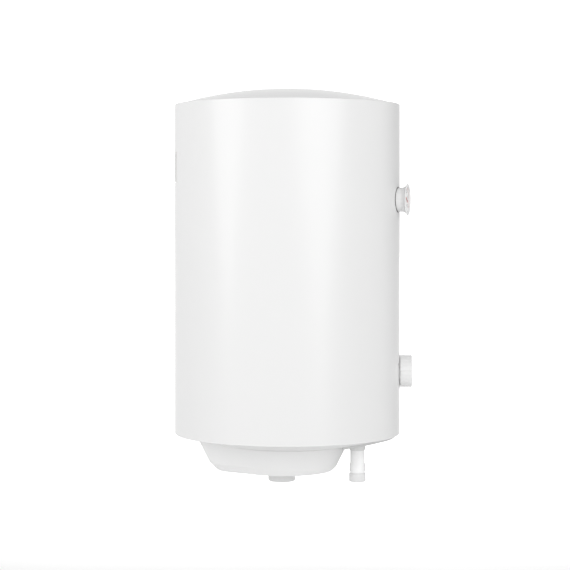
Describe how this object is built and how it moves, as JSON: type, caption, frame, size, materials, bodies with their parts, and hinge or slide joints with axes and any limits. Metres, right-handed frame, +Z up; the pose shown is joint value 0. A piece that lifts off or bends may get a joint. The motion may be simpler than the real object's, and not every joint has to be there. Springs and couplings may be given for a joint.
{
  "type": "tank water heater",
  "caption": "Slim wall-hung electric storage water heater: white round jacket with domed ends, tapered service cover, water pipes below, front dial thermometer and thermostat knob.",
  "frame": {"origin": "middle of the wall bracket's outer face, between its two slots", "axes": "+Z up along the heater's axis, -Y to the front away from the wall, +X to the right of a person facing the heater"},
  "size_m": [0.34, 0.3581, 0.5919],
  "materials": {
    "white_paint": "gloss white enamel paint",
    "white_plastic": "moulded, semi-gloss",
    "trim_plastic": "moulded, fine texture",
    "pipe_white": "white coated steel",
    "bare_steel": "zinc plated",
    "enamel": "vitreous enamel",
    "foam": "polyurethane foam",
    "copper": "copper tube",
    "brass": "turned brass",
    "magnesium": "cast and drawn",
    "black_rubber": "moulded",
    "white_rubber": "moulded",
    "dark_plastic": "moulded",
    "red_plastic": "moulded",
    "dial_white": "printed disc",
    "needle_red": "lacquered",
    "pointer_grey": "inlaid",
    "lens_clear": "clear acrylic",
    "wire_brown": "insulated wire",
    "wire_blue": "insulated wire",
    "wire_green": "insulated wire"
  },
  "bodies": {
    "heater": {"outer_jacket": "white_paint", "top_cap": "white_paint", "bottom_cap": "white_paint", "foam_insulation": "foam", "tank_shell": "enamel", "tank_top_dome": "enamel", "tank_bottom_dome": "enamel", "flange_gasket": "black_rubber", "flange_plate": "bare_steel", "flange_bolts": "bare_steel", "heating_element": "copper", "element_terminals": "brass", "anode_rod": "magnesium", "anode_nut": "bare_steel", "thermowell": "copper", "sensor_bulb": "copper", "capillary_tube": "copper", "hot_outlet_pipe": "pipe_white", "hot_outlet_socket": "pipe_white", "cold_inlet_pipe": "pipe_white", "cold_inlet_socket": "pipe_white", "pipe_seals": "white_rubber", "inlet_diffuser": "white_plastic", "pipe_trim_plate": "trim_plastic", "service_cover": "white_plastic", "service_cover_screws": "bare_steel", "gland_nut": "white_plastic", "gland_seal": "black_rubber", "gland_body": "white_plastic", "gland_lock_nut": "white_plastic", "wall_bracket": "white_paint", "thermostat_housing": "white_plastic", "dial_ring": "white_plastic", "thermostat_body": "dark_plastic", "thermostat_screws": "bare_steel", "thermometer_housing": "white_plastic", "thermometer_bezel": "white_plastic", "thermometer_dial": "dial_white", "needle_pivot": "brass", "thermometer_lens": "lens_clear", "terminal_bracket": "bare_steel", "terminal_block": "dark_plastic", "terminal_screws": "brass", "thermal_cutout": "dark_plastic", "earth_stud": "brass", "earth_nut": "brass", "wire_live": "wire_brown", "wire_load": "wire_brown", "wire_neutral": "wire_blue", "wire_earth": "wire_green"},
    "knob": {"thermostat_knob": "white_plastic", "knob_pointer": "pointer_grey", "thermostat_spindle": "bare_steel"},
    "needle": {"thermometer_needle": "needle_red"},
    "reset": {"reset_button": "red_plastic"}
  },
  "joints": [
    {"name": "thermostat_turn", "type": "hinge", "parent": "heater", "child": "knob", "pos_m": [0, -0.3384, -0.3065], "axis": [0, 1, 0], "range_deg": [0, 270]},
    {"name": "thermometer_swing", "type": "hinge", "parent": "heater", "child": "needle", "pos_m": [-0.03652, -0.34592, -0.0485], "axis": [0.1994, 0.9799, 0], "range_deg": [-67.5, 202.5]},
    {"name": "reset_press", "type": "slide", "parent": "heater", "child": "reset", "axis": [0, 0, 1], "range_m": [0, 0.0015], "stiffness_N_per_m": 400}
  ]
}
